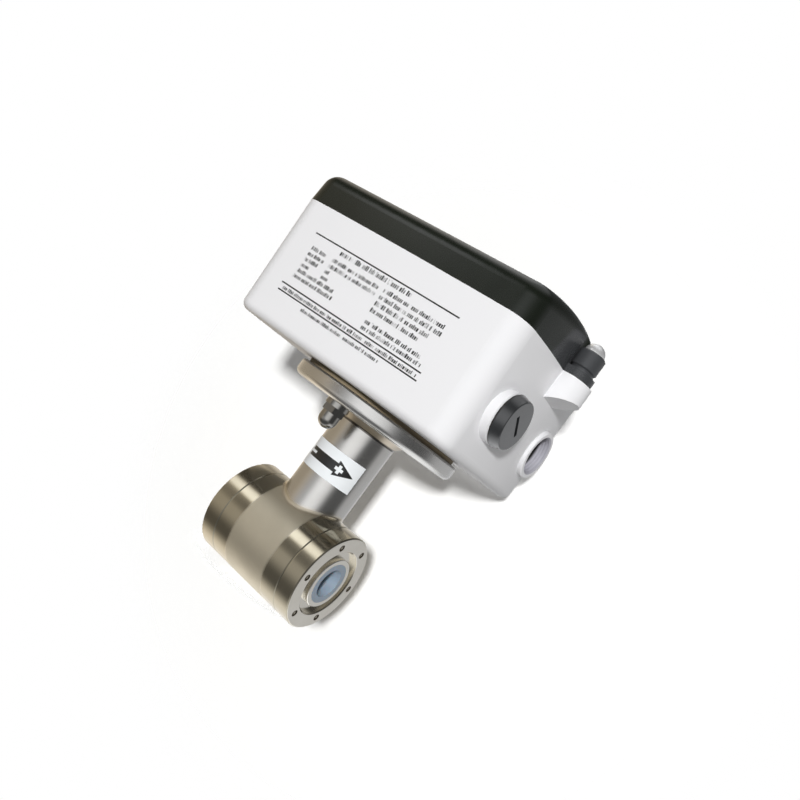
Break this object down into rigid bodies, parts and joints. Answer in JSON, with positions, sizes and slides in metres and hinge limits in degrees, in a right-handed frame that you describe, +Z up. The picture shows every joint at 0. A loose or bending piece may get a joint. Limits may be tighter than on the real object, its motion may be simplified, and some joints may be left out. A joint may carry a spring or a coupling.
{
  "type": "electromagnetic flow meter",
  "caption": "Wafer flow sensor with a lined bore and tapped end rings, on a neck under a bowed terminal box with cable entries and a dark screwed cover.",
  "frame": {"origin": "on the flow axis, at the middle of the sensor", "axes": "+X along the flow, +Z up the neck to the terminal box, -Y the printed front of the box"},
  "size_m": [0.1644, 0.11, 0.1814],
  "materials": {
    "sensor_steel": "blasted and turned stainless steel",
    "neck_plate": "turned stainless steel",
    "liner": "pale translucent fluoropolymer",
    "electrode": "polished alloy",
    "insulator": "moulded insulator",
    "magnet_iron": "soft iron",
    "coil_wire": "enamelled copper winding",
    "lead_wire": "insulated wire",
    "gasket": "black rubber",
    "fastener": "plain steel",
    "box_paint": "pale silver-grey paint on a casting",
    "plug": "dark moulded plastic",
    "cover": "black-olive moulded plastic",
    "grip": "black moulded plastic",
    "screw_dome": "bright plated steel",
    "board": "green coated laminate",
    "terminal": "grey moulded plastic",
    "terminal_screw": "plated brass",
    "memory": "dark moulded plastic"
  },
  "bodies": {
    "meter": {"sensor_housing": "sensor_steel", "end_ring_outlet": "sensor_steel", "end_ring_inlet": "sensor_steel", "measuring_tube": "neck_plate", "liner": "liner", "electrode_back": "electrode", "electrode_front": "electrode", "electrode_bushes": "insulator", "electrode_nuts": "fastener", "pole_core_upper": "magnet_iron", "pole_core_lower": "magnet_iron", "coil_upper": "coil_wire", "coil_lower": "coil_wire", "magnet_yoke": "magnet_iron", "coil_leads": "lead_wire", "electrode_leads": "lead_wire", "mounting_plate": "neck_plate", "plate_gasket": "gasket", "box_screws": "fastener", "earth_stud": "fastener", "earth_washers": "fastener", "earth_cap_nut": "fastener", "terminal_box": "box_paint", "plug_seal": "gasket", "cover_gasket": "gasket", "connection_board": "board", "board_screws": "fastener", "coil_terminal_block": "terminal", "signal_terminal_block": "terminal", "terminal_screws": "terminal_screw", "calibration_socket": "memory", "calibration_unit": "terminal"},
    "cover": {"cover": "cover"},
    "cover_screw_right": {"cover_screw_right": "screw_dome", "cover_grip_right": "grip"},
    "cover_screw_left": {"cover_screw_left": "screw_dome", "cover_grip_left": "grip"},
    "blanking_plug": {"blanking_plug": "plug"}
  },
  "joints": [
    {"name": "cover_lift", "type": "slide", "parent": "meter", "child": "cover", "axis": [0, 0, 1], "range_m": [0, 0.06]},
    {"name": "cover_screw_right_turn", "type": "hinge", "parent": "cover", "child": "cover_screw_right", "pos_m": [0.0685, 0, 0.1353], "axis": [0, 0, 1], "continuous": true},
    {"name": "cover_screw_left_turn", "type": "hinge", "parent": "cover", "child": "cover_screw_left", "pos_m": [-0.0789, 0, 0.1353], "axis": [0, 0, 1], "continuous": true},
    {"name": "blanking_plug_turn", "type": "hinge", "parent": "meter", "child": "blanking_plug", "pos_m": [0.065, -0.0277, 0.102], "axis": [1, 0, 0], "continuous": true}
  ]
}
